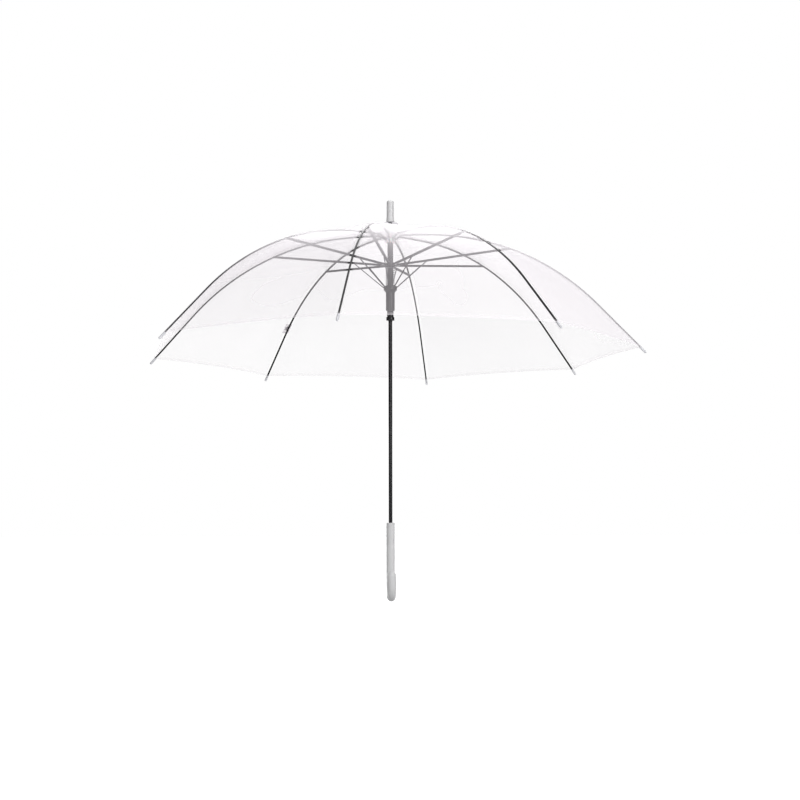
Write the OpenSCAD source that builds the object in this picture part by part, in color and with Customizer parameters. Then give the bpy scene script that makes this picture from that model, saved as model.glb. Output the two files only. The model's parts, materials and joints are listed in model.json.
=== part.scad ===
// Clear stick umbrella with a spring-driven opening, eight ribs and a hooked handle.
// +Z runs up the shaft to the ferrule, the hook opens towards -Y, and the origin
// is on the shaft's axis at the middle of the grip.

/* [Overall] */
// Height of the rib pivots above the middle of the grip
crown_z = 643.5; // [620:0.5:660]
// Length of a rib along its curve, from its pivot to the end of its cap
rib_len = 609; // [560:1:640]
// Turn of the ribs away from the plane of the hook, in degrees
rib_turn = 12.4; // [0:0.1:22]

/* [Rib curve] */
// Height of the rib's line above its pivot
rib_rise = 11.3; // [8:0.1:13]
// Slope of the rib where it leaves the crown, in degrees below level
rib_slope = 1.5; // [0:0.1:4]
// Length of the straight stretch at the crown
flat_len = 72; // [50:1:90]
// Radius of the bowed stretch
bow_radius = 500; // [440:5:600]
// Distance along the rib at which the bow ends
bow_end = 467; // [440:1:480]
// Distance along the rib to the stretcher's rivet
joint_at = 250.5; // [230:0.5:265]

/* [Rib section] */
// Width of the rib channel
rib_w = 3.0; // [2.6:0.1:3.4]
// Depth of the rib channel
rib_h = 2.6; // [2.2:0.1:3]
// Thickness of the steel strip
strip_t = 0.6; // [0.4:0.05:0.8]
// Radius of the rivets
rivet_r = 0.7; // [0.6:0.05:0.8]

/* [Stretchers and struts] */
// Thickness of the stretcher's walls
stretcher_wall = 0.4; // [0.3:0.05:0.6]
// Distance from the runner's pivot to the strut's rivet
strut_at = 72; // [60:1:80]
// Width and depth of a strut
strut_w = 1.8; // [1.4:0.1:2]

/* [Shaft and stops] */
// Radius of the shaft
shaft_r = 4; // [3.5:0.1:4.5]
// Wall of the shaft tube
shaft_wall = 0.7; // [0.5:0.05:0.9]
// Radius of the stop tube below the crown
stop_r = 5.9; // [5.4:0.1:6.2]

/* [Crown and runners] */
// Radius of the pivot wires in the crown and the upper runner
pivot_pitch_r = 7.2; // [7:0.1:7.6]
// Radius of the upper runner's slotted head
runner_head_r = 9.2; // [9:0.1:10]
// Radius of the crown
crown_r = 10.5; // [10:0.1:12]
// Radius of the guide tube inside the main spring
guide_r = 6; // [5.6:0.1:6.2]
// Length of the guide tube below the upper runner's head
guide_len = 57; // [50:1:57]
// Drop from the upper runner's pivots to the lower runner's pivots
runner_gap = 49; // [46:0.5:52]
// Radius of the strut pivots in the lower runner
strut_pitch_r = 12.3; // [12:0.1:13]
// Radius of the lower runner's slotted head
lower_head_r = 14; // [13.8:0.1:15]
// Radius of the sleeve
sleeve_r = 9.25; // [9:0.05:10]
// Drop from the strut pivots to the sleeve's lower end
sleeve_drop = 48; // [44:1:52]
// Length of the neck below the sleeve
neck_len = 13; // [10:1:16]
// Radius of the neck
neck_r = 6.75; // [6.2:0.05:7.5]
// Length of the thumb flange below the neck
flange_len = 8; // [7:0.5:10]
// Radius of the thumb flange
flange_r = 8.5; // [8:0.1:10]

/* [Main spring] */
// Mean radius of the coil
spring_r = 9.4; // [9.2:0.05:9.5]
// Radius of the spring wire
spring_wire_r = 0.6; // [0.5:0.05:0.7]
// Number of turns
spring_turns = 6; // [5:0.5:7]

/* [Canopy] */
// Thickness of the film
film_t = 0.5; // [0.3:0.1:0.6]
// Gap between the ribs and the film
film_gap = 1.1; // [0.8:0.1:1.4]
// Height that the film climbs to the ferrule at the middle
tent_rise = 24; // [20:0.5:25]
// Radius over which it climbs
tent_r = 55; // [45:1:70]
// Depth of the scallop between two ribs
scallop = 5; // [0:1:30]

/* [Ferrule and rosette] */
// Height of the ferrule
ferrule_h = 46.4; // [40:0.2:60]
// Radius of the ferrule's foot
ferrule_foot_r = 8.6; // [8.2:0.1:9.2]
// Radius of the ferrule's straight stretch
ferrule_r = 7.5; // [7:0.1:8.1]
// Radius of the rosette
rosette_r = 17; // [14:0.5:20]

/* [Handle] */
// Radius of the handle
handle_r = 9; // [8.8:0.1:10]
// Height of the handle's top above the middle of the grip
handle_top = 49.4; // [45:0.2:55]
// Depth of the hook's lowest point below the middle of the grip
hook_drop = 110; // [100:1:120]
// Radius of the hook's centre line
hook_r = 29; // [25:1:35]
// Height of the hook's tip above its lowest point
hook_tip = 62; // [56:1:70]
// Depth to which the shaft reaches below the middle of the grip
shaft_depth = 45; // [30:1:55]

/* [Release] */
// Height of the button's middle
button_z = 31; // [28:0.5:33]
// Length of the button
button_len = 15; // [12:0.5:16]
// Width of the button
button_w = 6; // [5:0.2:6.4]
// How far the button stands out of the handle
button_proud = 1.2; // [0.8:0.1:1.5]
// Travel of the button
button_travel = 2.4; // [2:0.1:2.4]
// Height of the catch's nose
catch_z = 65.4; // [65:0.1:66]

/* [Tie band] */
// Width of the tie band
band_w = 16; // [12:1:18]
// Length of the tie band as it lies folded up
band_len = 28; // [24:1:34]
// Thickness of the folded tie band
band_t = 1.6; // [1.2:0.1:2]
// Distance along the rib to the middle of the tie band
band_at = 455; // [300:5:570]

/* [Hidden] */
$fn = 48;

ribs = 8;
rib_step = 360 / ribs;

// Clearances
slide_gap = 0.1;      // round parts that slide on one another
pin_gap = 0.06;       // a rivet in its eye
side_gap = 0.3;       // flat faces that pass one another
wire_gap = 0.05;      // a pivot wire in its groove

// Pivot wires and the tongues that hang on them
wire_r = 0.5;
wire_eye_r = 0.7;
tongue_w = 2.4;
tongue_eye_r = 1.6;
slot_w = tongue_w + 2 * side_gap;
slot_floor = 3;       // depth of a slot below its pivot
slot_back = 1.7;      // depth of a slot behind its pivot

// The rib's line: a straight stretch, a bow and a straight tail
function bow_turn(s) = (min(max(s, flat_len), bow_end) - flat_len) / bow_radius * 180 / PI;
function rib_angle(s) = rib_slope + bow_turn(s);
function rib_at(s) =
    let (a = rib_angle(s), before = min(s, flat_len), after = max(s - bow_end, 0))
    [pivot_pitch_r + before * cos(rib_slope)
        + bow_radius * (sin(a) - sin(rib_slope)) + after * cos(a),
     crown_z + rib_rise - before * sin(rib_slope)
        - bow_radius * (cos(rib_slope) - cos(a)) - after * sin(a)];
function rib_off(s, off) = rib_at(s) + off * [sin(rib_angle(s)), cos(rib_angle(s))];

// The fold: rib and stretcher are the two equal sides of a triangle on the shaft
crown_pivot = [pivot_pitch_r, crown_z];
joint = rib_at(joint_at);
runner_pivot = [pivot_pitch_r, 2 * joint.y - crown_z];
link_len = norm(joint - crown_pivot);
open_angle = asin((crown_z - joint.y) / link_len);
strut_top = runner_pivot + strut_at * [cos(open_angle), sin(open_angle)];
lower_z = runner_pivot.y - runner_gap;
strut_foot = [strut_pitch_r, lower_z];

// Rib joint
knuckle_r = rib_h / 2;
knuckle_gap = 0.5;    // between the round knuckle and the end of the channel
knuckle_w = 1.0;      // the middle tongue of the knuckle
cheek_gap = 0.2;
crank_s = 18;         // where the crank from the pivot meets the rib's line
groove_end = 6;       // solid stretch at each end of the channel's groove

// Stretcher section
stretcher_in = rib_w + 2 * side_gap;
stretcher_w = stretcher_in + 2 * stretcher_wall;
stretcher_top = 2.2;
stretcher_low = 1.6;
web_t = 0.5;
fork_len = 10;        // stretch by the rib's rivet that has no web
tongue_len = 14;
channel_start = 9.5;
strut_eye_r = 1.4;

// Runner heads
head_above = 5.5;
head_below = 5;
lower_above = 4;
lower_below = 6;
spring_seat = 3;      // depth of the spring's seat below the strut pivots
seat_r = spring_r + spring_wire_r + 0.3;
strut_slot_w = strut_w + 2 * side_gap;
skirt_depth = 6;      // recess under the flange that takes the catch
skirt_r = 5.6;

// Crown
crown_below = 5;
crown_above = 9;
crown_slot_above = 5;
boss_r = 6.5;
boss_top = crown_z + rib_rise + tent_rise - 4.6;

// Film
film_in = rib_h / 2 + film_gap;
film_hole_r = shaft_r + 0.6;
cap_len = 18;
cap_r = 2.5;
cap_drop = 0.6;       // how far the cap's axis lies below the rib's line
cap_socket = 12;
hem_at = rib_len - cap_len + 4;
film_around = 6;      // strips in each panel
film_along = 16;      // strips from crown to hem

// Ferrule stack
rosette_h = 4.6;
rosette_t = 1.2;
ferrule_z = crown_z + 40.1;
rosette_z = ferrule_z - rosette_h;
shaft_top_z = ferrule_z + 18.4;

// Release
catch_half_w = 1.1;
catch_face = 2.4;     // outer face of the catch's strip
catch_t = 1.5;
nose_reach = 5.2;
nose_h = 3.8;
button_spare = 0.4;   // space left behind the button when it is pressed home
button_back = shaft_r + button_travel + button_spare;
stem_r = 1;
stem_end = 2.9;
button_wire_r = 0.15;
button_coil_r = 1.6;
button_bore = 1.4;    // depth of the spring's hole in the button
button_gap = 0.25;

band_rib = 6;

// ---- helpers ----

function turn_of(k) = -90 - rib_turn + (k - 1) * rib_step;

// Places a drawing in the radial plane of rib k and gives it a width
module in_plane(k, width) {
    rotate([0, 0, turn_of(k)])
        rotate([90, 0, 0])
            translate([0, 0, -width / 2])
                linear_extrude(width) children();
}

// Two equal cheeks, outer width w and thickness t
module in_cheeks(k, w, t) {
    rotate([0, 0, turn_of(k)])
        rotate([90, 0, 0])
            for (side = [-1, 1])
                translate([0, 0, side * (w - t) / 2 - t / 2])
                    linear_extrude(t) children();
}

module disc_at(p, r) {
    translate(p) circle(r);
}

// Flat bar from p to q, between two heights above the line
module bar(p, q, low, high) {
    d = q - p;
    translate(p)
        rotate(atan2(d.y, d.x))
            translate([0, low])
                square([norm(d), high - low]);
}

// Strip along the rib's line between two distances and two heights
module rib_strip(from, to, low, high) {
    n = ceil((to - from) / 12);
    s = [for (i = [0:n]) from + (to - from) * i / n];
    polygon(concat(
        [for (i = [0:n]) rib_off(s[i], high)],
        [for (i = [n:-1:0]) rib_off(s[i], low)]));
}

module tube(r, hole_r, low, high) {
    difference() {
        translate([0, 0, low]) cylinder(r = r, h = high - low);
        translate([0, 0, low - 1]) cylinder(r = hole_r, h = high - low + 2);
    }
}

module ring(pitch, r, z) {
    translate([0, 0, z])
        rotate_extrude()
            translate([pitch, 0]) circle(r, $fn = 16);
}

// Slots for eight tongues, open outwards
module slots(width, back_r, low, high) {
    for (k = [1:ribs])
        rotate([0, 0, turn_of(k)])
            translate([back_r, -width / 2, low])
                cube([40, width, high - low]);
}

// A round wire wound on a cylinder, with flat ends
module coil(pitch_r, r, length, turns, around, sides) {
    n = turns * around;
    rise = length - 2 * r;
    function centre(i) = [pitch_r * cos(360 * i / around), pitch_r * sin(360 * i / around),
                          r + rise * i / n];
    function loop(i) = [for (j = [0:sides - 1])
        let (b = 360 * j / sides, a = 360 * i / around)
        centre(i) + [r * cos(b) * cos(a), r * cos(b) * sin(a), r * sin(b)]];
    points = [for (i = [0:n]) each loop(i)];
    walls = [for (i = [0:n - 1]) for (j = [0:sides - 1])
        let (next = (j + 1) % sides)
        [i * sides + j, (i + 1) * sides + j, (i + 1) * sides + next, i * sides + next]];
    start = [for (j = [0:sides - 1]) j];
    finish = [for (j = [sides - 1:-1:0]) n * sides + j];
    polyhedron(points, concat(walls, [start, finish]));
}

// ---- shaft and what is fixed on it ----

module shaft() {
    color("#1c1c1e")
    difference() {
        tube(shaft_r, shaft_r - shaft_wall, -shaft_depth, shaft_top_z);
        translate([-catch_half_w - 0.2, 0, button_z - stem_r - 0.5])
            cube([2 * catch_half_w + 0.4, 2 * shaft_r,
                  catch_z + nose_h + 0.4 - (button_z - stem_r - 0.5)]);
    }
}

module shaft_plug() {
    color("#9a9a9c")
    translate([0, 0, shaft_top_z - 20])
        cylinder(r = shaft_r - shaft_wall - 0.02, h = 20);
}

module stop_tube() {
    color("#202022")
    tube(stop_r, shaft_r, runner_pivot.y + head_above + 0.4, crown_z - crown_below);
}

module crown() {
    color("#e8e8ea")
    difference() {
        union() {
            translate([0, 0, crown_z - crown_below])
                cylinder(r = crown_r, h = crown_below + crown_above);
            translate([0, 0, crown_z + crown_above])
                cylinder(r = boss_r, h = boss_top - crown_z - crown_above);
        }
        translate([0, 0, crown_z - 20]) cylinder(r = shaft_r, h = 80);
        slots(slot_w, pivot_pitch_r - slot_back - 0.2, crown_z - crown_below - 1,
              crown_z + crown_slot_above);
        ring(pivot_pitch_r, wire_r + wire_gap, crown_z);
    }
}

module crown_wire() {
    color("#8a8a8c") ring(pivot_pitch_r, wire_r, crown_z);
}

module rosette() {
    color("#f2f2f4", 0.6)
    rotate_extrude()
        polygon([
            [shaft_r, rosette_z + rosette_h - rosette_t],
            [shaft_r + 3, rosette_z + rosette_h - rosette_t],
            [rosette_r, rosette_z],
            [rosette_r, rosette_z + rosette_t],
            [shaft_r + 3.6, rosette_z + rosette_h],
            [shaft_r, rosette_z + rosette_h]]);
}

module ferrule() {
    foot_h = 12;
    dome_r = 5;
    shoulder = ferrule_z + ferrule_h - dome_r;
    color("#dcdcde")
    difference() {
        union() {
            translate([0, 0, ferrule_z])
                cylinder(r1 = ferrule_foot_r, r2 = ferrule_r, h = foot_h);
            translate([0, 0, ferrule_z + foot_h])
                cylinder(r = ferrule_r, h = ferrule_h - foot_h - dome_r);
            translate([0, 0, shoulder])
                rotate_extrude()
                    union() {
                        square([ferrule_r - dome_r, dome_r]);
                        translate([ferrule_r - dome_r, 0])
                            intersection() {
                                circle(dome_r);
                                square(dome_r);
                            }
                    }
        }
        translate([0, 0, ferrule_z - 1])
            cylinder(r = shaft_r, h = shaft_top_z + 0.5 - ferrule_z + 1);
    }
}

// ---- runners and main spring ----

module upper_runner() {
    z = runner_pivot.y;
    color("#242427")
    difference() {
        union() {
            translate([0, 0, z - head_below])
                cylinder(r = runner_head_r, h = head_below + head_above);
            translate([0, 0, z - head_below - guide_len])
                cylinder(r = guide_r, h = guide_len + 1);
        }
        translate([0, 0, z - 100]) cylinder(r = shaft_r + slide_gap, h = 200);
        slots(slot_w, pivot_pitch_r - slot_back, z - slot_floor, z + head_above + 1);
        ring(pivot_pitch_r, wire_r + wire_gap, z);
    }
}

module upper_wire() {
    color("#8a8a8c") ring(pivot_pitch_r, wire_r, runner_pivot.y);
}

module main_spring() {
    foot = lower_z - spring_seat + 0.05;
    color("#6f6f72")
    translate([0, 0, foot])
        coil(spring_r, spring_wire_r, runner_pivot.y - head_below - 0.05 - foot,
             spring_turns, 16, 6);
}

module lower_runner() {
    top = lower_z + lower_above;
    sleeve_end = lower_z - sleeve_drop;
    neck_end = sleeve_end - neck_len;
    foot = neck_end - flange_len;
    edge = 0.8;
    color("#242427")
    difference() {
        union() {
            rotate_extrude()
                polygon([
                    [0, foot], [flange_r - edge, foot], [flange_r, foot + edge],
                    [flange_r, neck_end - edge], [flange_r - edge, neck_end],
                    [neck_r, neck_end], [neck_r, sleeve_end],
                    [sleeve_r - edge, sleeve_end], [sleeve_r, sleeve_end + edge],
                    [sleeve_r, lower_z - lower_below - 4],
                    [lower_head_r, lower_z - lower_below + 2],
                    [lower_head_r, top], [0, top]]);
        }
        translate([0, 0, foot - 1]) cylinder(r = shaft_r + slide_gap, h = top - foot + 2);
        translate([0, 0, foot - 1]) cylinder(r = skirt_r, h = skirt_depth + 1);
        translate([0, 0, sleeve_end + 1])
            cylinder(r = guide_r + slide_gap, h = top - sleeve_end);
        translate([0, 0, lower_z - spring_seat]) cylinder(r = seat_r, h = 20);
        slots(strut_slot_w, strut_pitch_r - strut_eye_r - 0.2, lower_z - strut_eye_r - side_gap,
              top + 1);
    }
}

// ---- ribs, stretchers and struts ----

// The bent end that joins a rib's pivot to the rib's line
module crank() {
    half = rib_h / 2;
    d = rib_at(crank_s) - crown_pivot;
    side = half * [-d.y, d.x] / norm(d);
    polygon([
        crown_pivot + side, rib_off(crank_s, half), rib_off(crank_s + 3, half - 0.3),
        rib_off(crank_s + 3, 0.3 - half), rib_off(crank_s, -half), crown_pivot - side]);
}

module rib(k) {
    last = joint_at - knuckle_r - knuckle_gap;
    color("#1f1f21")
    difference() {
        union() {
            in_plane(k, tongue_w) {
                disc_at(crown_pivot, tongue_eye_r);
                crank();
            }
            in_plane(k, rib_w) rib_strip(crank_s, last, -rib_h / 2, rib_h / 2);
            in_plane(k, knuckle_w) {
                rib_strip(last - 1, joint_at, -rib_h / 2, rib_h / 2);
                disc_at(joint, knuckle_r);
            }
            in_plane(k, stretcher_w + 0.4) disc_at(joint, rivet_r);
        }
        in_plane(k, tongue_w + 2) disc_at(crown_pivot, wire_eye_r);
        in_plane(k, rib_w - 2 * strip_t)
            rib_strip(crank_s + groove_end, last - groove_end, -rib_h, rib_h / 2 - strip_t);
    }
}

module outer_rib(k) {
    first = joint_at + knuckle_r + knuckle_gap;
    last = rib_len - cap_len + cap_socket;
    cheek_t = (rib_w - knuckle_w) / 2 - cheek_gap;
    color("#1f1f21")
    difference() {
        union() {
            in_plane(k, rib_w) rib_strip(first, last, -rib_h / 2, rib_h / 2);
            in_cheeks(k, rib_w, cheek_t) {
                rib_strip(joint_at, first + 1, -rib_h / 2, rib_h / 2);
                disc_at(joint, knuckle_r);
            }
        }
        in_plane(k, rib_w + 2) disc_at(joint, rivet_r + pin_gap);
        in_plane(k, rib_w - 2 * strip_t)
            rib_strip(first + groove_end, last - groove_end - cap_socket, -rib_h,
                      rib_h / 2 - strip_t);
    }
}

module tip_cap(k) {
    start = rib_at(rib_len - cap_len);
    slope = rib_angle(rib_len);
    color("#d8d8dc", 0.8)
    rotate([0, 0, turn_of(k)])
        translate([start.x, 0, start.y])
            rotate([0, 90 + slope, 0])
                difference() {
                    union() {
                        translate([cap_drop, 0, 0]) {
                            cylinder(r = cap_r, h = cap_len - cap_r);
                            translate([0, 0, cap_len - cap_r]) sphere(cap_r);
                        }
                    }
                    translate([-rib_h / 2 - 0.02, -rib_w / 2 - 0.02, -1])
                        cube([rib_h + 0.04, rib_w + 0.04, cap_socket + 1.1]);
                }
}

module stretcher(k) {
    u = (joint - runner_pivot) / link_len;
    function along(x) = runner_pivot + x * u;
    color("#232325")
    difference() {
        union() {
            in_plane(k, tongue_w) {
                disc_at(runner_pivot, tongue_eye_r);
                bar(runner_pivot, along(tongue_len), -tongue_eye_r, tongue_eye_r);
            }
            in_cheeks(k, stretcher_w, stretcher_wall) {
                bar(along(channel_start), joint, -stretcher_low, stretcher_top - web_t);
                disc_at(joint, stretcher_low);
            }
            in_plane(k, stretcher_w)
                bar(along(channel_start), along(link_len - fork_len),
                    stretcher_top - web_t, stretcher_top);
            in_plane(k, stretcher_w)
                bar(along(channel_start), along(tongue_len), -stretcher_low, stretcher_top);
            in_plane(k, stretcher_w - 0.2) disc_at(strut_top, rivet_r);
        }
        in_plane(k, tongue_w + 2) disc_at(runner_pivot, wire_eye_r);
        in_plane(k, stretcher_w + 2) disc_at(joint, rivet_r + pin_gap);
        in_cheeks(k, stretcher_in, side_gap)
            bar(along(link_len - fork_len), along(link_len + 4), stretcher_top - web_t - 0.01,
                stretcher_top + 1);
    }
}

module strut(k) {
    color("#2a2a2c")
    difference() {
        in_plane(k, strut_w) {
            bar(strut_foot, strut_top, -strut_w / 2, strut_w / 2);
            disc_at(strut_foot, strut_eye_r);
            disc_at(strut_top, strut_eye_r);
        }
        in_plane(k, strut_w + 2) disc_at(strut_top, rivet_r + pin_gap);
        in_plane(k, strut_w + 2) disc_at(strut_foot, wire_eye_r);
    }
}

// ---- handle and release ----

module handle() {
    bend_z = hook_r + handle_r - hook_drop;
    tip_z = hook_tip - hook_drop - handle_r;
    lip = 1.2;
    color("#d9d9db")
    difference() {
        union() {
            translate([0, 0, bend_z]) cylinder(r = handle_r, h = handle_top - lip - bend_z);
            translate([0, 0, handle_top - lip])
                cylinder(r1 = handle_r, r2 = handle_r - lip, h = lip);
            translate([0, -hook_r, bend_z])
                rotate([0, 90, 0])
                    rotate([0, 0, -90])
                        rotate_extrude(angle = 180)
                            translate([hook_r, 0]) circle(handle_r);
            translate([0, -2 * hook_r, bend_z]) {
                cylinder(r = handle_r, h = tip_z - bend_z);
                translate([0, 0, tip_z - bend_z]) sphere(handle_r);
            }
        }
        translate([0, 0, -shaft_depth]) cylinder(r = shaft_r, h = handle_top + shaft_depth + 1);
        button_shape(button_gap, shaft_r - 1, handle_r + 2);
    }
}

// Round-ended outline of the button, drawn out along Y
module button_shape(gap, from, to) {
    r = button_w / 2 + gap;
    half = button_len / 2 - button_w / 2;
    translate([0, to, button_z])
        rotate([90, 0, 0])
            linear_extrude(to - from) {
                for (side = [-1, 1]) translate([0, side * half]) circle(r);
                square([2 * r, 2 * half], center = true);
            }
}

module release_button() {
    face = handle_r + button_proud;
    color("#c9c9cc")
    difference() {
        union() {
            button_shape(0, button_back, face);
            translate([0, button_back + 1, button_z])
                rotate([90, 0, 0]) cylinder(r = stem_r, h = button_back + 1 - stem_end);
        }
        translate([0, button_back + button_bore, button_z])
            rotate([90, 0, 0])
                difference() {
                    cylinder(r = button_coil_r + button_wire_r + 0.2, h = button_bore + 0.01);
                    translate([0, 0, -1]) cylinder(r = stem_r, h = button_bore + 2);
                }
    }
}

module button_spring() {
    color("#8f8f92")
    translate([0, button_back + button_bore - 0.02, button_z])
        rotate([90, 0, 0])
            coil(button_coil_r, button_wire_r, button_back + button_bore - shaft_r - 0.08,
                 4, 10, 5);
}

module catch() {
    foot = button_z - 5;
    color("#77777a")
    union() {
        translate([-catch_half_w, catch_face - catch_t, foot])
            cube([2 * catch_half_w, catch_t, catch_z + nose_h - foot]);
        translate([-catch_half_w, 0, catch_z])
            rotate([90, 0, 90])
                linear_extrude(2 * catch_half_w)
                    polygon([[catch_face - 0.2, 0], [nose_reach, 0.4],
                             [nose_reach, 1.6], [catch_face - 0.2, nose_h]]);
    }
}

// ---- canopy and tie band ----

function tent(r) = r < tent_r ? tent_rise * pow(1 - r / tent_r, 2) : 0;
function film_line(s, off) = let (p = rib_off(s, off)) [p.x, p.y + tent(p.x)];

// How far along the film the hem lies, at a share t of the way from rib to rib
function hem(t) = hem_at - scallop * (1 - pow(2 * t - 1, 2));

// A point of the film: i strips round from rib 1, j strips out from the middle
function film_point(i, j, off) =
    let (
        t = (i % film_around) / film_around,
        half = rib_step / 2,
        // the panels are flat from rib to rib, so equal steps run along the chord
        a = atan((2 * t - 1) * tan(half)),
        first = film_hole_r - pivot_pitch_r,
        s = first + (hem(t) - first) * pow(j / film_along, 1.25),
        p = film_line(s, off),
        r = p.x * cos(half) / cos(a),
        turn = turn_of(1) + floor(i / film_around) * rib_step + half + a
    )
    [r * cos(turn), r * sin(turn), p.y];

module canopy() {
    around = ribs * film_around;
    row = film_along + 1;
    side = around * row;
    function id(i, j, outer) = (i % around) * row + j + (outer ? side : 0);
    points = [for (off = [film_in, film_in + film_t])
        for (i = [0:around - 1]) for (j = [0:film_along]) film_point(i, j, off)];
    outside = [for (i = [0:around - 1]) for (j = [0:film_along - 1])
        [id(i, j, true), id(i + 1, j, true), id(i + 1, j + 1, true), id(i, j + 1, true)]];
    inside = [for (i = [0:around - 1]) for (j = [0:film_along - 1])
        [id(i, j, false), id(i, j + 1, false), id(i + 1, j + 1, false), id(i + 1, j, false)]];
    rims = [for (i = [0:around - 1]) each [
        [id(i, 0, false), id(i + 1, 0, false), id(i + 1, 0, true), id(i, 0, true)],
        [id(i, film_along, false), id(i, film_along, true),
         id(i + 1, film_along, true), id(i + 1, film_along, false)]]];
    color("#f4f2f6", 0.35)
    polyhedron(points, concat(outside, inside, rims));
}

band_off = film_in + film_t + 0.4;

module tie_band() {
    color("#eeeef2", 0.6)
    in_plane(band_rib, band_w)
        rib_strip(band_at - band_len / 2, band_at + band_len / 2, band_off, band_off + band_t);
}

module snap_stud() {
    p = rib_off(band_at, band_off + band_t);
    color("#c4c4c8")
    rotate([0, 0, turn_of(band_rib)])
        translate([p.x, 0, p.y])
            rotate([0, rib_angle(band_at), 0]) {
                cylinder(r = 5, h = 0.8);
                translate([0, 0, 0.8]) cylinder(r1 = 2.4, r2 = 2, h = 1.6);
            }
}

// ---- nodes ----

shaft();
shaft_plug();
ferrule();
rosette();
crown();
crown_wire();
stop_tube();
upper_runner();
upper_wire();
main_spring();
lower_runner();
handle();
release_button();
button_spring();
catch();
canopy();
tie_band();
snap_stud();
for (k = [1:ribs]) {
    rib(k);
    outer_rib(k);
    stretcher(k);
    strut(k);
    tip_cap(k);
}
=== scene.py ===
"""A clear stick umbrella: the looks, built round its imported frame."""
import json
import math

import bmesh
import bpy
from mathutils import Matrix, Vector


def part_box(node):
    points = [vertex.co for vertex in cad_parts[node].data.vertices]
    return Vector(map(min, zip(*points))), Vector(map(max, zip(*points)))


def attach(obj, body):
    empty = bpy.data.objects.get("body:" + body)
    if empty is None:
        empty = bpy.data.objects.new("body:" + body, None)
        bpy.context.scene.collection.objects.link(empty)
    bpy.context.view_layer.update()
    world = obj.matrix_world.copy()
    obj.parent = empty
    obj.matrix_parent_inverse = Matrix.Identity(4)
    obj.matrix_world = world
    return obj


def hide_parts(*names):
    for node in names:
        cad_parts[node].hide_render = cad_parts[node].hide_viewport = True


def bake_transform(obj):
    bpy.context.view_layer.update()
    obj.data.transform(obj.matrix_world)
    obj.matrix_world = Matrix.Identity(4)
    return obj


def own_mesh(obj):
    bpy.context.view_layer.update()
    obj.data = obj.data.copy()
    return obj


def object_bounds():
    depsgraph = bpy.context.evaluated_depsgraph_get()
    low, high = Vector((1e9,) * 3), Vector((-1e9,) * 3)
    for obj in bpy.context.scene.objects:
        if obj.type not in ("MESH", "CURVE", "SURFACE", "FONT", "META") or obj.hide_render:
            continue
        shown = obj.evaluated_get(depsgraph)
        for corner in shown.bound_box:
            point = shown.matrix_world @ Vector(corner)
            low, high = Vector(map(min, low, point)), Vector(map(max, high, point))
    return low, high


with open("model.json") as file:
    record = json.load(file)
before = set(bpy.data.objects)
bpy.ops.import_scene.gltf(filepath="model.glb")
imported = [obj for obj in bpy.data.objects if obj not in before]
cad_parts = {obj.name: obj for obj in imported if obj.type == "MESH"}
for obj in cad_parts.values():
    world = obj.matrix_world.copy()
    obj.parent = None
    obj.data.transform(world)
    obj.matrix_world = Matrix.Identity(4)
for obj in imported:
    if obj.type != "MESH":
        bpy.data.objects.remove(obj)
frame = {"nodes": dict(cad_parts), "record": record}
CAD_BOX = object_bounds()
JOINTS = {joint["name"]: joint for joint in frame["record"]["behaviour"]["joints"]}

# ---- sizes, in metres and degrees ----

RIBS = 8
RIB_STEP = 360 / RIBS
HALF_STEP = math.radians(RIB_STEP / 2)

# the rib's line: straight near the crown, then a bow, then straight again
RIB_RISE = 0.0113           # the rib's line above its pivot
RIB_SLOPE = math.radians(1.5)
FLAT_LEN = 0.072
BOW_RADIUS = 0.500
BOW_END = 0.467
RIB_LEN = 0.609
JOINT_AT = 0.2505           # where the outer rib turns on the inner one
RIB_DEPTH = 0.0026
CAP_LEN = 0.018

# the film
FILM_GAP = 0.0011
FILM_OFF = RIB_DEPTH / 2 + FILM_GAP
FILM_HOLE = 0.0046          # radius of the hole round the ferrule's peg
TENT_RISE = 0.024
TENT_RADIUS = 0.055
SCALLOP = 0.005             # how far the hem curves in between two tips
CAP_OVERLAP = 0.004
HEM_AT = RIB_LEN - CAP_LEN + CAP_OVERLAP
COLLAR_END = 0.023          # distance along the rib where the crown's own film stops
COLLAR_CLIMB = 0.012        # extra length of that film where it climbs to the ferrule
FILM_SAG = 0.0045           # how far a panel sinks below straight lines between its ribs

CROWN_PIVOT = Vector(JOINTS["fold"]["pos_m"])
PIVOT_R = CROWN_PIVOT.to_2d().length
CROWN_Z = CROWN_PIVOT.z
FLOOR_Z = CAD_BOX[0][2]


# ---- the rib's line and the film ----

def rib_angle(s):
    """Slope of the rib below level at distance s from its pivot."""
    return RIB_SLOPE + (min(max(s, FLAT_LEN), BOW_END) - FLAT_LEN) / BOW_RADIUS


def rib_at(s, off=0.0):
    """Distance from the axis and height of a point on the rib, off above its line."""
    a = rib_angle(s)
    before = min(s, FLAT_LEN)
    after = max(s - BOW_END, 0.0)
    r = (PIVOT_R + before * math.cos(RIB_SLOPE)
         + BOW_RADIUS * (math.sin(a) - math.sin(RIB_SLOPE)) + after * math.cos(a))
    z = (CROWN_Z + RIB_RISE - before * math.sin(RIB_SLOPE)
         - BOW_RADIUS * (math.cos(RIB_SLOPE) - math.cos(a)) - after * math.sin(a))
    return r + off * math.sin(a), z + off * math.cos(a)


def tent(r):
    """How far the film climbs towards the ferrule at distance r from the axis."""
    return TENT_RISE * (1 - r / TENT_RADIUS) ** 2 if r < TENT_RADIUS else 0.0


def hem_at(side):
    """Distance along the film to its hem: side is 0 on the rib, 1 half way to the next."""
    return HEM_AT - SCALLOP * (1 - (1 - side) ** 2)


def rib_turn(k):
    """Direction of rib k round the shaft, from its fold joint."""
    name = "fold" if k == 1 else f"fold_{k}"
    x, y, _ = JOINTS[name]["pos_m"]
    return math.atan2(y, x)


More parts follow.
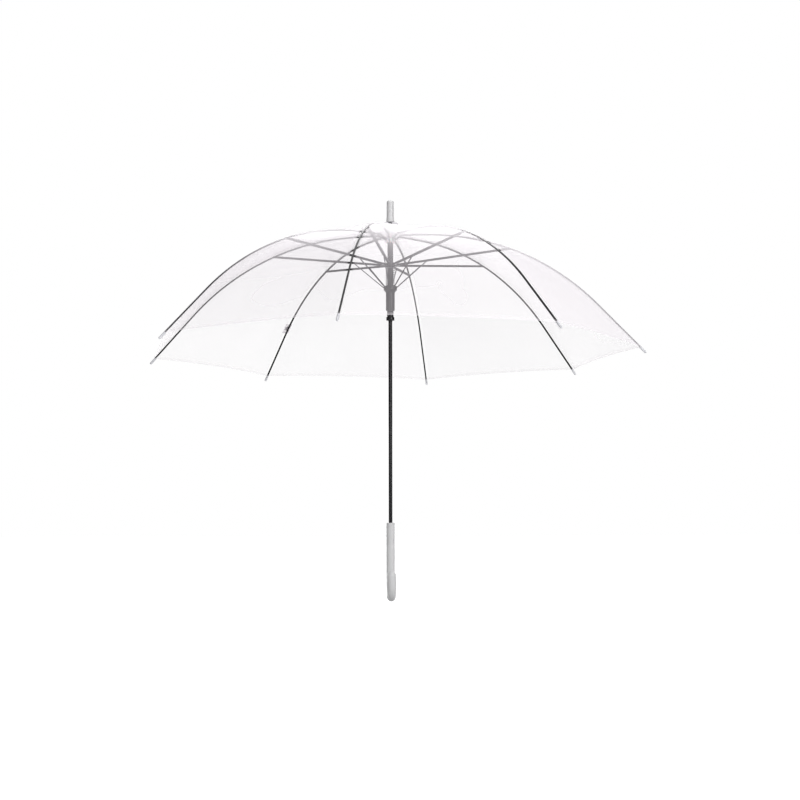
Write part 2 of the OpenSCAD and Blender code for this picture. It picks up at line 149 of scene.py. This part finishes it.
def radial(k, r, side, z):
    """A point in rib k's own plane, side of it by side, put into the frame."""
    a = rib_turn(k)
    return Vector((r * math.cos(a) - side * math.sin(a), r * math.sin(a) + side * math.cos(a), z))


def film_at(k, s, side):
    """A point of the film: s along it, side from -1 to 1 across the share of rib k."""
    r, z = rib_at(s, FILM_OFF)
    z += tent(r)
    share = abs(side)
    inward = r * share * math.sin(HALF_STEP) ** 2
    across = r * share * math.sin(HALF_STEP) * math.cos(HALF_STEP)
    down = min(max(s / HEM_AT, 0), 1)
    slack = FILM_SAG * math.sin(math.pi * down) * math.sin(math.pi / 2 * share) ** 2
    return radial(k, r - inward, math.copysign(across, side), z - slack)


# ---- material tools ----

def new_material(name, colour, roughness, **sockets):
    """A material with a Principled shader. Returns the material, its nodes and the shader."""
    material = bpy.data.materials.new(name)
    material.use_nodes = True
    shader = material.node_tree.nodes["Principled BSDF"]
    shader.inputs["Base Color"].default_value = (*colour, 1)
    shader.inputs["Roughness"].default_value = roughness
    for socket, value in sockets.items():
        shader.inputs[socket.replace("_", " ")].default_value = value
    return material, material.node_tree, shader


def add(tree, kind, **settings):
    """A node in a tree, with its settings."""
    node = tree.nodes.new(kind)
    for name, value in settings.items():
        setattr(node, name, value)
    return node


def group_socket(tree, name, kind, way, value=None):
    """A named input or output of a node group."""
    socket = tree.interface.new_socket(name=name, in_out=way, socket_type=kind)
    if value is not None:
        socket.default_value = value


def moulded_skin_group():
    """Fine unevenness of moulded plastic: a soft change of shade and a faint orange peel."""
    tree = bpy.data.node_groups.new("moulded skin", "ShaderNodeTree")
    group_socket(tree, "Colour", "NodeSocketColor", "INPUT", (0.6, 0.6, 0.6, 1))
    group_socket(tree, "Roughness", "NodeSocketFloat", "INPUT", 0.35)
    group_socket(tree, "Peel", "NodeSocketFloat", "INPUT", 0.1)
    group_socket(tree, "Colour", "NodeSocketColor", "OUTPUT")
    group_socket(tree, "Roughness", "NodeSocketFloat", "OUTPUT")
    group_socket(tree, "Normal", "NodeSocketVector", "OUTPUT")
    given = add(tree, "NodeGroupInput")
    out = add(tree, "NodeGroupOutput")
    place = add(tree, "ShaderNodeTexCoord")
    flow = add(tree, "ShaderNodeTexNoise")
    flow.inputs["Scale"].default_value = 28
    flow.inputs["Detail"].default_value = 3
    peel = add(tree, "ShaderNodeTexNoise")
    peel.inputs["Scale"].default_value = 900
    peel.inputs["Detail"].default_value = 2
    shade = add(tree, "ShaderNodeMapRange")
    shade.inputs["To Min"].default_value = 0.93
    shade.inputs["To Max"].default_value = 1.05
    tint = add(tree, "ShaderNodeMix", data_type="RGBA", blend_type="MULTIPLY")
    tint.inputs["Factor"].default_value = 1
    rough = add(tree, "ShaderNodeMath", operation="MULTIPLY_ADD")
    rough.inputs[1].default_value = 0.12
    bump = add(tree, "ShaderNodeBump")
    bump.inputs["Distance"].default_value = 0.0004
    link = tree.links.new
    link(place.outputs["Object"], flow.inputs["Vector"])
    link(place.outputs["Object"], peel.inputs["Vector"])
    link(flow.outputs["Fac"], shade.inputs["Value"])
    link(given.outputs["Colour"], tint.inputs["A"])
    link(shade.outputs["Result"], tint.inputs["B"])
    link(tint.outputs["Result"], out.inputs["Colour"])
    link(flow.outputs["Fac"], rough.inputs[0])
    link(given.outputs["Roughness"], rough.inputs[2])
    link(rough.outputs["Value"], out.inputs["Roughness"])
    link(given.outputs["Peel"], bump.inputs["Strength"])
    link(peel.outputs["Fac"], bump.inputs["Height"])
    link(bump.outputs["Normal"], out.inputs["Normal"])
    return tree


def drawn_steel_group():
    """Paint over drawn steel: faint lengthwise lines, dust and thin spots."""
    tree = bpy.data.node_groups.new("painted steel", "ShaderNodeTree")
    group_socket(tree, "Colour", "NodeSocketColor", "INPUT", (0.02, 0.02, 0.02, 1))
    group_socket(tree, "Worn colour", "NodeSocketColor", "INPUT", (0.1, 0.1, 0.1, 1))
    group_socket(tree, "Wear", "NodeSocketFloat", "INPUT", 0.2)
    group_socket(tree, "Roughness", "NodeSocketFloat", "INPUT", 0.25)
    group_socket(tree, "Colour", "NodeSocketColor", "OUTPUT")
    group_socket(tree, "Roughness", "NodeSocketFloat", "OUTPUT")
    group_socket(tree, "Normal", "NodeSocketVector", "OUTPUT")
    given = add(tree, "NodeGroupInput")
    out = add(tree, "NodeGroupOutput")
    place = add(tree, "ShaderNodeTexCoord")
    stretch = add(tree, "ShaderNodeMapping")
    stretch.inputs["Scale"].default_value = (1, 1, 0.05)
    lines = add(tree, "ShaderNodeTexNoise")
    lines.inputs["Scale"].default_value = 1400
    dust = add(tree, "ShaderNodeTexNoise")
    dust.inputs["Scale"].default_value = 60
    dust.inputs["Detail"].default_value = 3
    worn = add(tree, "ShaderNodeMapRange")
    worn.inputs["From Min"].default_value = 0.56
    worn.inputs["From Max"].default_value = 0.74
    amount = add(tree, "ShaderNodeMath", operation="MULTIPLY")
    mix = add(tree, "ShaderNodeMix", data_type="RGBA")
    rough = add(tree, "ShaderNodeMath", operation="MULTIPLY_ADD")
    rough.inputs[1].default_value = 0.08
    bump = add(tree, "ShaderNodeBump")
    bump.inputs["Strength"].default_value = 0.02
    bump.inputs["Distance"].default_value = 0.0003
    link = tree.links.new
    link(place.outputs["Object"], stretch.inputs["Vector"])
    link(stretch.outputs["Vector"], lines.inputs["Vector"])
    link(place.outputs["Object"], dust.inputs["Vector"])
    link(dust.outputs["Fac"], worn.inputs["Value"])
    link(worn.outputs["Result"], amount.inputs[0])
    link(given.outputs["Wear"], amount.inputs[1])
    link(amount.outputs["Value"], mix.inputs["Factor"])
    link(given.outputs["Colour"], mix.inputs["A"])
    link(given.outputs["Worn colour"], mix.inputs["B"])
    link(mix.outputs["Result"], out.inputs["Colour"])
    link(dust.outputs["Fac"], rough.inputs[0])
    link(given.outputs["Roughness"], rough.inputs[2])
    link(rough.outputs["Value"], out.inputs["Roughness"])
    link(lines.outputs["Fac"], bump.inputs["Height"])
    link(bump.outputs["Normal"], out.inputs["Normal"])
    return tree


def wear_skin(name, group, colour, roughness, inputs, **sockets):
    """A material whose colour, roughness and normal come from a shared group."""
    material, tree, shader = new_material(name, colour, roughness, **sockets)
    skin = add(tree, "ShaderNodeGroup", node_tree=group)
    skin.inputs["Colour"].default_value = (*colour, 1)
    skin.inputs["Roughness"].default_value = roughness
    for socket, value in inputs.items():
        skin.inputs[socket].default_value = value
    tree.links.new(skin.outputs["Colour"], shader.inputs["Base Color"])
    tree.links.new(skin.outputs["Roughness"], shader.inputs["Roughness"])
    tree.links.new(skin.outputs["Normal"], shader.inputs["Normal"])
    return material


MOULDED = moulded_skin_group()
DRAWN = drawn_steel_group()
BLACK_PAINT = (0.006, 0.006, 0.007)
THIN_PAINT = (0.11, 0.11, 0.115, 1)

gloss_black = wear_skin("gloss black shaft", DRAWN, BLACK_PAINT, 0.16,
                        {"Wear": 0.04, "Worn colour": THIN_PAINT}, Specular_IOR_Level=0.32)
satin_black = wear_skin("satin black ribs", DRAWN, BLACK_PAINT, 0.26,
                        {"Wear": 0.05, "Worn colour": THIN_PAINT}, Specular_IOR_Level=0.20)
black_plastic = wear_skin("black runner plastic", MOULDED, (0.010, 0.010, 0.011), 0.24,
                          {"Peel": 0.12}, Specular_IOR_Level=0.35)
grey_plastic = wear_skin("pale grey handle plastic", MOULDED, (0.60, 0.60, 0.60), 0.16,
                         {"Peel": 0.04})
white_plastic = wear_skin("pale crown plastic", MOULDED, (0.78, 0.78, 0.80), 0.30, {"Peel": 0.08},
                          Subsurface_Weight=0.3, Subsurface_Scale=0.003)
button_plastic = wear_skin("button plastic", MOULDED, (0.42, 0.42, 0.43), 0.24, {"Peel": 0.08})
cap_plastic = wear_skin("milky cap plastic", MOULDED, (0.70, 0.70, 0.73), 0.22, {"Peel": 0.06},
                        Alpha=0.82)
rosette_plastic = wear_skin("clear rosette plastic", MOULDED, (0.80, 0.80, 0.83), 0.12,
                            {"Peel": 0.04}, Alpha=0.45)
bare_steel = wear_skin("bare steel", DRAWN, (0.42, 0.42, 0.43), 0.22,
                       {"Wear": 0.5, "Worn colour": (0.25, 0.25, 0.26, 1)}, Metallic=1.0)
spring_steel = wear_skin("oiled spring steel", DRAWN, (0.05, 0.05, 0.055), 0.26,
                         {"Wear": 0.4, "Worn colour": (0.16, 0.16, 0.17, 1)}, Metallic=0.6)


FILM_COLOUR = (0.95, 0.90, 0.935)
FILM_ROUGHNESS = 0.34


def film_material(name, haze, hem_haze):
    """Clear film. UV X is the distance from the rib the film is welded to and UV Y that from the
    hem, in metres.
    """
    material, tree, shader = new_material(
        name, FILM_COLOUR, FILM_ROUGHNESS, Specular_IOR_Level=0.18)
    link = tree.links.new
    uv = add(tree, "ShaderNodeUVMap", uv_map="edges")
    part = add(tree, "ShaderNodeSeparateXYZ")
    place = add(tree, "ShaderNodeTexCoord")
    link(uv.outputs["UV"], part.inputs["Vector"])

    def step(socket, low, high, at_low, at_high):
        """A soft step of a value between two of its levels."""
        node = add(tree, "ShaderNodeMapRange", interpolation_type="SMOOTHSTEP")
        node.inputs["From Min"].default_value = low
        node.inputs["From Max"].default_value = high
        node.inputs["To Min"].default_value = at_low
        node.inputs["To Max"].default_value = at_high
        link(socket, node.inputs["Value"])
        return node.outputs["Result"]

    def maths(operation, a, b):
        """Two masks put together, kept between 0 and 1."""
        node = add(tree, "ShaderNodeMath", operation=operation, use_clamp=True)
        link(a, node.inputs[0])
        link(b, node.inputs[1])
        return node.outputs["Value"]

    cloud = add(tree, "ShaderNodeTexNoise")
    cloud.inputs["Scale"].default_value = 7
    cloud.inputs["Detail"].default_value = 1
    link(place.outputs["Object"], cloud.inputs["Vector"])
    # the open film is clearer towards the hem, and looks denser where it is seen edge on
    body = step(cloud.outputs["Fac"], 0.3, 0.7, haze * 0.90, haze * 1.10)
    thin = step(part.outputs["Y"], 0.04, 0.26, 0.60, 1.0)
    graze = add(tree, "ShaderNodeLayerWeight")
    graze.inputs["Blend"].default_value = 0.5
    steep = step(graze.outputs["Facing"], 0.45, 0.95, 0.0, 0.40)
    # painted shade along each rib: the film is made clear there so it looks dark, as if the rib
    # blocked the light the film scatters from behind; this stops towards the crown, where the film
    # lies in small creases
    rib_shade_clearing = maths("MAXIMUM", step(part.outputs["X"], 0.0030, 0.0100, 0.05, 1.0),
                 step(part.outputs["Y"], 0.24, 0.44, 0.0, 1.0))
    fog = step(part.outputs["Y"], 0.500, 0.575, 0.0, 0.52)
    # the hem is a doubled band with a cut edge
    band = step(part.outputs["Y"], 0.0060, 0.0072, hem_haze, 0.0)
    line = step(part.outputs["Y"], 0.0006, 0.0014, 0.2, 0.0)
    total = maths("ADD", maths("ADD", maths("MULTIPLY", body, thin), steep), fog)
    # the painted rib shade clears the film's haze along each rib
    total = maths("MULTIPLY", total, rib_shade_clearing)
    total = maths("ADD", total, band)
    total = maths("ADD", total, line)
    link(total, shader.inputs["Alpha"])
    ripple = add(tree, "ShaderNodeTexNoise")
    ripple.inputs["Scale"].default_value = 14
    ripple.inputs["Detail"].default_value = 2
    link(place.outputs["Object"], ripple.inputs["Vector"])
    bump = add(tree, "ShaderNodeBump")
    bump.inputs["Strength"].default_value = 0.03
    bump.inputs["Distance"].default_value = 0.001
    link(ripple.outputs["Fac"], bump.inputs["Height"])
    link(bump.outputs["Normal"], shader.inputs["Normal"])
    return material


clear_film = film_material("clear canopy film", 0.26, 0.12)
band_film = film_material("clear band film", 0.34, 0.15)


# ---- mesh tools ----

def finished(name, mesh_data, material, smooth=True):
    """Turns a bmesh into an object with one material."""
    mesh = bpy.data.meshes.new(name)
    mesh_data.to_mesh(mesh)
    mesh_data.free()
    for polygon in mesh.polygons:
        polygon.use_smooth = smooth
    mesh.materials.append(material)
    piece = bpy.data.objects.new(name, mesh)
    bpy.context.scene.collection.objects.link(piece)
    return piece


def film_patch(k, sides, s_from, s_to, across, along):
    """A bmesh of film from s_from to s_to along rib k, or to the hem when s_to is None."""
    patch = bmesh.new()
    bmesh.ops.create_grid(patch, x_segments=across, y_segments=along, size=1)
    edges = patch.loops.layers.uv.new("edges")
    spot = {}
    for vert in patch.verts:
        u = (vert.co.x + 1) / 2
        v = (vert.co.y + 1) / 2
        side = sides[0] + (sides[1] - sides[0]) * u
        end = hem_at(abs(side)) if s_to is None else s_to
        s = s_from + (end - s_from) * v
        spot[vert] = (s, side)
        vert.co = film_at(k, s, side)
    for face in patch.faces:
        for loop in face.loops:
            s, side = spot[loop.vert]
            r = rib_at(s)[0]
            loop[edges].uv = (abs(side) * r * math.sin(HALF_STEP), hem_at(abs(side)) - s)
    bmesh.ops.recalc_face_normals(patch, faces=patch.faces)
    return patch


def face_up(patch):
    """Turns a film patch so that its faces point away from the shaft's foot."""
    patch.normal_update()
    if sum(face.normal.z * face.calc_area() for face in patch.faces) < 0:
        bmesh.ops.reverse_faces(patch, faces=patch.faces)


def flat_size(patch, s_from, s_to, widest):
    """The size of the sheet that a patch is cut from, and the patch's own area."""
    area = sum(face.calc_area() for face in patch.faces)
    return (widest, s_to - s_from), area


def crown_film(k):
    """The film round the crown in the share of rib k: it stays at the ferrule."""
    first = FILM_HOLE - PIVOT_R
    patch = film_patch(k, (-1, 1), first, COLLAR_END, 16, 14)
    face_up(patch)
    width = 2 * rib_at(COLLAR_END)[0] * math.sin(HALF_STEP)
    flat, area = flat_size(patch, first, COLLAR_END + COLLAR_CLIMB, width)
    piece = finished(f"crown_film_{k}", patch, clear_film)
    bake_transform(piece)
    return piece


def gore_half(k, way, outer):
    """Half of the film held by rib k, on one side of it, beside the inner or the outer rib."""
    s_from, s_to = (JOINT_AT, None) if outer else (COLLAR_END, JOINT_AT)
    end = HEM_AT if outer else JOINT_AT
    sides = (0, 1) if way > 0 else (-1, 0)
    patch = film_patch(k, sides, s_from, s_to, 12, 44 if outer else 30)
    face_up(patch)
    width = rib_at(end)[0] * math.sin(HALF_STEP)
    flat, area = flat_size(patch, s_from, end, width)
    body = f"outer_rib_{k}" if outer else f"rib_{k}"
    name = ("outer" if outer else "inner") + "_film_" + ("left" if way < 0 else "right")
    piece = finished(f"{name}_{k}", patch, clear_film)
    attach(piece, body)
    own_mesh(piece)


EACH_RIB = range(1, RIBS + 1)

for k in EACH_RIB:
    crown_piece = crown_film(k)
    if k == 1:
        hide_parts("canopy")
    for way in (-1, 1):
        gore_half(k, way, outer=False)
        gore_half(k, way, outer=True)


# ---- materials of the frame's own parts ----

def dress(names, material):
    """Gives some of the frame's own nodes one material."""
    for name in names:
        slots = frame["nodes"][name].data.materials
        slots.clear()
        slots.append(material)


dress(["shaft", "stop_tube"], gloss_black)
dress([f"{part}_{k}" for part in ("rib", "outer_rib", "stretcher", "strut") for k in EACH_RIB],
      satin_black)
dress(["upper_runner", "lower_runner"], black_plastic)
dress(["handle", "ferrule"], grey_plastic)
dress(["crown"], white_plastic)
dress(["rosette"], rosette_plastic)
dress(["release_button"], button_plastic)
dress([f"tip_cap_{k}" for k in EACH_RIB] + ["snap_stud"], cap_plastic)
dress(["crown_wire", "upper_wire", "catch", "shaft_plug"], bare_steel)


# ---- tie band ----

BAND_RIB = 6
BAND_AT = 0.455
BAND_FOLD = 0.026           # length of the folded band
BAND_WIDTH = 0.016
BAND_LAYERS = 5
BAND_STEP = 0.00034         # from one layer to the next
BAND_LIFT = 0.0010          # from the canopy's film to the first layer
BAND_BULGE = 0.00012        # how much a layer bows up between its folds
BAND_ROWS = 12              # rows of faces in one layer
CLEAR_OF_EDGES = 0.02       # far enough from the painted shade along the rib and from the hem band for plain film


def tie_band():
    """The film strap, folded to and fro on itself over the rib and held by its snap."""
    strap = bmesh.new()
    line = []
    for layer in range(BAND_LAYERS):
        trail = range(BAND_ROWS + 1)
        for i in trail if layer % 2 == 0 else reversed(trail):
            s = BAND_AT + BAND_FOLD * (i / BAND_ROWS - 0.5)
            bulge = BAND_BULGE * math.sin(math.pi * i / BAND_ROWS)
            line.append((s, FILM_OFF + BAND_LIFT + layer * BAND_STEP + bulge))
    rows = len(line) - 1
    bmesh.ops.create_grid(strap, x_segments=6, y_segments=rows, size=1)
    edges = strap.loops.layers.uv.new("edges")
    for vert in strap.verts:
        row = round((vert.co.y + 1) / 2 * rows)
        s, height = line[row]
        r, z = rib_at(s, height)
        vert.co = radial(BAND_RIB, r, vert.co.x * BAND_WIDTH / 2, z)
    for face in strap.faces:
        for loop in face.loops:
            loop[edges].uv = (CLEAR_OF_EDGES, CLEAR_OF_EDGES)
    face_up(strap)
    area = sum(face.calc_area() for face in strap.faces)
    piece = finished("tie_band_film", strap, band_film)
    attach(piece, f"outer_rib_{BAND_RIB}")
    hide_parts("tie_band")


# ---- springs ----

TURN_STEPS = 24
MAIN_TURNS = 10
MAIN_WIRE_R = 0.00075
BUTTON_TURNS = 4
BUTTON_WIRE_R = 0.00015


def coil(pitch_r, wire_r, turns, length):
    """A wire coil up the Z axis from the origin."""
    steps = TURN_STEPS * turns
    ring = bmesh.new()
    bmesh.ops.create_circle(ring, segments=8, radius=wire_r)
    bmesh.ops.rotate(ring, verts=ring.verts, matrix=Matrix.Rotation(math.pi / 2, 3, "X"))
    bmesh.ops.translate(ring, verts=ring.verts, vec=(pitch_r, 0, wire_r))
    bmesh.ops.spin(ring, geom=ring.edges[:], axis=(0, 0, 1), cent=(0, 0, 0), steps=steps,
                   dvec=(0, 0, (length - 2 * wire_r) / steps), angle=2 * math.pi * turns)
    bmesh.ops.holes_fill(ring, edges=[edge for edge in ring.edges if edge.is_boundary])
    bmesh.ops.recalc_face_normals(ring, faces=ring.faces)
    return ring


def main_spring():
    """The spring that opens the umbrella."""
    low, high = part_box("main_spring")
    ring = coil(high[0] - MAIN_WIRE_R, MAIN_WIRE_R, MAIN_TURNS, high[2] - low[2])
    bmesh.ops.translate(ring, verts=ring.verts, vec=(0, 0, low[2]))
    piece = finished("main_spring_coil", ring, spring_steel)
    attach(piece, "upper_runner")
    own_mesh(piece)
    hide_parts("main_spring")


def button_spring():
    """The small spring behind the release button, from the shaft outwards."""
    low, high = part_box("button_spring")
    length = high[1] - low[1]
    middle = (low[2] + high[2]) / 2
    ring = coil((high[0] - low[0]) / 2 - BUTTON_WIRE_R, BUTTON_WIRE_R, BUTTON_TURNS, length)
    bmesh.ops.rotate(ring, verts=ring.verts, matrix=Matrix.Rotation(-math.pi / 2, 3, "X"))
    bmesh.ops.translate(ring, verts=ring.verts, vec=(0, low[1], middle))
    piece = finished("button_spring_coil", ring, bare_steel)
    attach(piece, "frame")
    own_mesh(piece)
    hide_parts("button_spring")


tie_band()
main_spring()
button_spring()


# ---- stage, light and camera ----

FLOOR_HALF = 12
FLOOR_GAP = 0.0005


def floor():
    """A pale floor that fades into the backdrop."""
    ground = bmesh.new()
    bmesh.ops.create_grid(ground, x_segments=1, y_segments=1, size=FLOOR_HALF)
    bmesh.ops.translate(ground, verts=ground.verts, vec=(0, 0, FLOOR_Z - FLOOR_GAP))
    material, tree, shader = new_material("floor", (0.50, 0.50, 0.50), 0.6)
    shader.inputs["Emission Color"].default_value = (1, 1, 1, 1)
    path = add(tree, "ShaderNodeLightPath")
    glow = add(tree, "ShaderNodeMapRange")
    glow.inputs["To Min"].default_value = 0.20
    glow.inputs["To Max"].default_value = 0.90
    tree.links.new(path.outputs["Is Camera Ray"], glow.inputs["Value"])
    tree.links.new(glow.outputs["Result"], shader.inputs["Emission Strength"])
    piece = finished("floor", ground, material, smooth=False)


def softbox(name, at, aim, size, power):
    """A flat lamp of size metres at one point, turned to another."""
    light = bpy.data.lights.new(name, "AREA")
    light.shape = "RECTANGLE"
    light.size, light.size_y = size
    light.energy = power
    lamp = bpy.data.objects.new(name, light)
    lamp.location = at
    lamp.rotation_euler = (Vector(aim) - Vector(at)).to_track_quat("-Z", "Y").to_euler()
    bpy.context.scene.collection.objects.link(lamp)


def studio():
    """A white backdrop that lights softly from front and back, dimmer at the sides, and lamps."""
    world = bpy.data.worlds.new("studio")
    bpy.context.scene.world = world
    world.use_nodes = True
    tree = world.node_tree
    base = tree.nodes["Background"]
    base.inputs["Color"].default_value = (1, 1, 1, 1)
    base.inputs["Strength"].default_value = 1.0
    soft = add(tree, "ShaderNodeBackground")
    soft.inputs["Color"].default_value = (0.97, 0.97, 1.0, 1)
    place = add(tree, "ShaderNodeTexCoord")
    part = add(tree, "ShaderNodeSeparateXYZ")
    sideways = add(tree, "ShaderNodeMath", operation="ABSOLUTE")
    dim = add(tree, "ShaderNodeMapRange", interpolation_type="SMOOTHSTEP")
    dim.inputs["From Min"].default_value = 0.25
    dim.inputs["From Max"].default_value = 0.85
    dim.inputs["To Min"].default_value = 0.52
    dim.inputs["To Max"].default_value = 0.10
    tree.links.new(place.outputs["Generated"], part.inputs["Vector"])
    tree.links.new(part.outputs["X"], sideways.inputs[0])
    tree.links.new(sideways.outputs["Value"], dim.inputs["Value"])
    tree.links.new(dim.outputs["Result"], soft.inputs["Strength"])
    path = add(tree, "ShaderNodeLightPath")
    choose = add(tree, "ShaderNodeMixShader")
    tree.links.new(path.outputs["Is Camera Ray"], choose.inputs["Fac"])
    tree.links.new(soft.outputs["Background"], choose.inputs[1])
    tree.links.new(base.outputs["Background"], choose.inputs[2])
    tree.links.new(choose.outputs["Shader"], tree.nodes["World Output"].inputs["Surface"])
    softbox("key", (1.75, -2.6, 1.3), (0, 0, 0.3), (0.6, 2.4), 54)
    softbox("fill", (-0.9, -3.2, 1.5), (0, 0, 0.3), (0.7, 2.4), 19)
    softbox("top", (0, 0.2, 3.0), (0, 0, 0.3), (2.6, 2.6), 27)
    softbox("back", (0.3, 2.4, 2.7), (0, 0, 0.6), (1.8, 1.2), 26)
    softbox("bounce", (0, 1.1, FLOOR_Z + 0.02), (0, 0.3, 0.6), (2.6, 1.2), 24)


def camera():
    """Slightly above the handle's foot, looking a little up."""
    distance = 2.720
    height = 0.0497
    turn = math.radians(-2.5)
    tilt = math.radians(90 + 5.362)
    roll = math.radians(0.107)
    pan = math.radians(0.411)
    data = bpy.data.cameras.new("camera")
    data.lens = 58.81
    data.sensor_width = 36
    eye = bpy.data.objects.new("camera", data)
    eye.location = (distance * math.sin(turn), -distance * math.cos(turn), height)
    eye.rotation_euler = (tilt, roll, turn - pan)
    bpy.context.scene.collection.objects.link(eye)
    bpy.context.scene.camera = eye


floor()
studio()
camera()
bpy.context.scene.view_settings.view_transform = "Standard"
